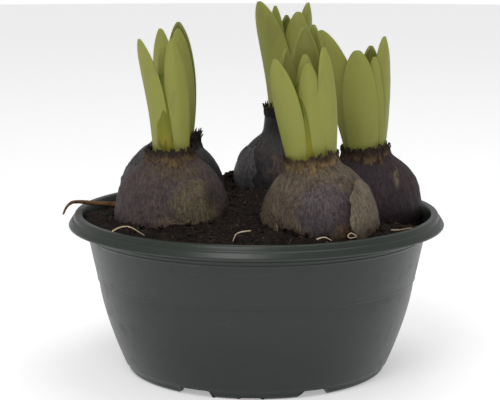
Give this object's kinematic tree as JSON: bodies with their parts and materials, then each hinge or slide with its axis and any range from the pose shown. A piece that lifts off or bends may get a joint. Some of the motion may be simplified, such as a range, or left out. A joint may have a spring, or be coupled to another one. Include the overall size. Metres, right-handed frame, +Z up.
{
  "type": "potted hyacinth bulbs",
  "caption": "Shallow round plastic bowl of peat with sprouting hyacinth bulbs, their green strap leaves standing upright before the flowers show.",
  "frame": {"origin": "on the ground, at the centre of the pot's foot ring and rim", "axes": "+Z up along the pot's axis, -Y towards the front of the plant, +X to the right seen from the front"},
  "size_m": [0.233, 0.23, 0.2212],
  "materials": {
    "pot_plastic": "satin moulded plastic, dark green",
    "peat": "loose fibrous peat, dry and matt",
    "bulb_skin": "papery dry bulb skin, purple-brown",
    "leaf_blade": "fleshy leaf, satin yellow-green",
    "dry_root": "dry wiry root, matt"
  },
  "bodies": {
    "root": {"pot": "pot_plastic", "soil": "peat", "bulb_front_left": "bulb_skin", "bulb_back_left": "bulb_skin", "bulb_back": "bulb_skin", "bulb_front_right": "bulb_skin", "bulb_right": "bulb_skin", "leaf_front_left_left": "leaf_blade", "leaf_front_left_front": "leaf_blade", "leaf_front_left_inner": "leaf_blade", "leaf_front_left_back": "leaf_blade", "leaf_back_left_left": "leaf_blade", "leaf_back_left_front": "leaf_blade", "leaf_back_left_back": "leaf_blade", "leaf_back_left": "leaf_blade", "leaf_back_left_inner": "leaf_blade", "leaf_back_front": "leaf_blade", "leaf_back_right": "leaf_blade", "leaf_back_back": "leaf_blade", "leaf_front_right_left": "leaf_blade", "leaf_front_right_left_inner": "leaf_blade", "leaf_front_right_back": "leaf_blade", "leaf_front_right_front": "leaf_blade", "leaf_front_right_inner": "leaf_blade", "leaf_front_right_right": "leaf_blade", "leaf_front_right_right_inner": "leaf_blade", "leaf_right_left": "leaf_blade", "leaf_right_front": "leaf_blade", "leaf_right_back": "leaf_blade", "leaf_right_inner": "leaf_blade", "leaf_right_right": "leaf_blade", "root_over_rim": "dry_root", "root_left": "dry_root", "root_front": "dry_root", "root_curl": "dry_root", "root_hook": "dry_root", "root_right": "dry_root"}
  },
  "joints": []
}
